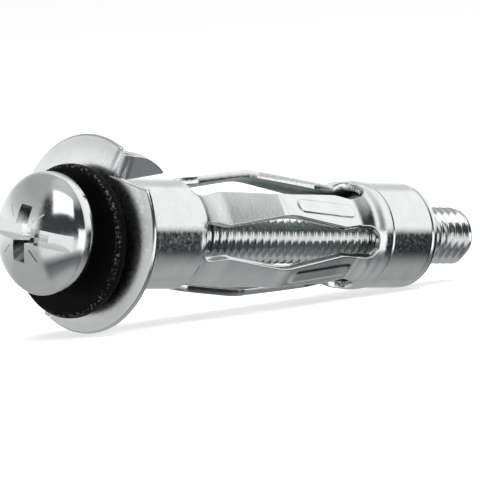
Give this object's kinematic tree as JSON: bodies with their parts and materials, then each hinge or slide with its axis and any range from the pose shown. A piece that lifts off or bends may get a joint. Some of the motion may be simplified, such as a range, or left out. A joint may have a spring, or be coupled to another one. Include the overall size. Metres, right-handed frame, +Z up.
{
  "type": "hollow-wall expansion anchor",
  "caption": "Drawn sheet-metal sleeve with clawed flange, slotted collapsing legs and a captive nut, on a pan-head machine screw with a loose washer, for fixing to hollow walls",
  "frame": {"origin": "on the sleeve's axis, in the plane of the flange's rear face, which seats on the wall board", "axes": "+Y runs along the axis from the screw head to the screw tip, into the wall; +Z is up as the part lies; +X completes the right-handed frame"},
  "size_m": [0.0194, 0.0615, 0.0194],
  "materials": {
    "zinc_sleeve": "bright zinc-plated drawn steel sheet, faintly mottled",
    "zinc_nut": "bright zinc-plated steel",
    "zinc_screw": "bright zinc-plated steel, glossy head",
    "black_washer": "deep black, satin"
  },
  "bodies": {
    "anchor": {"anchor_sleeve": "zinc_sleeve", "threaded_nut": "zinc_nut"},
    "washer": {"washer": "black_washer"},
    "screw": {"screw": "zinc_screw"}
  },
  "joints": [
    {"name": "screw_advance", "type": "slide", "parent": "anchor", "child": "washer", "axis": [0, 1, 0], "range_m": [-0.014, 0.0008]},
    {"name": "screw_turn", "type": "hinge", "parent": "washer", "child": "screw", "pos_m": [0, 0, 0], "axis": [0, 1, 0], "range_deg": [-5058, 306]}
  ],
  "couplings": [
    {"joint": "screw_turn", "follows": "screw_advance", "rad_per_m": 6283.2}
  ]
}
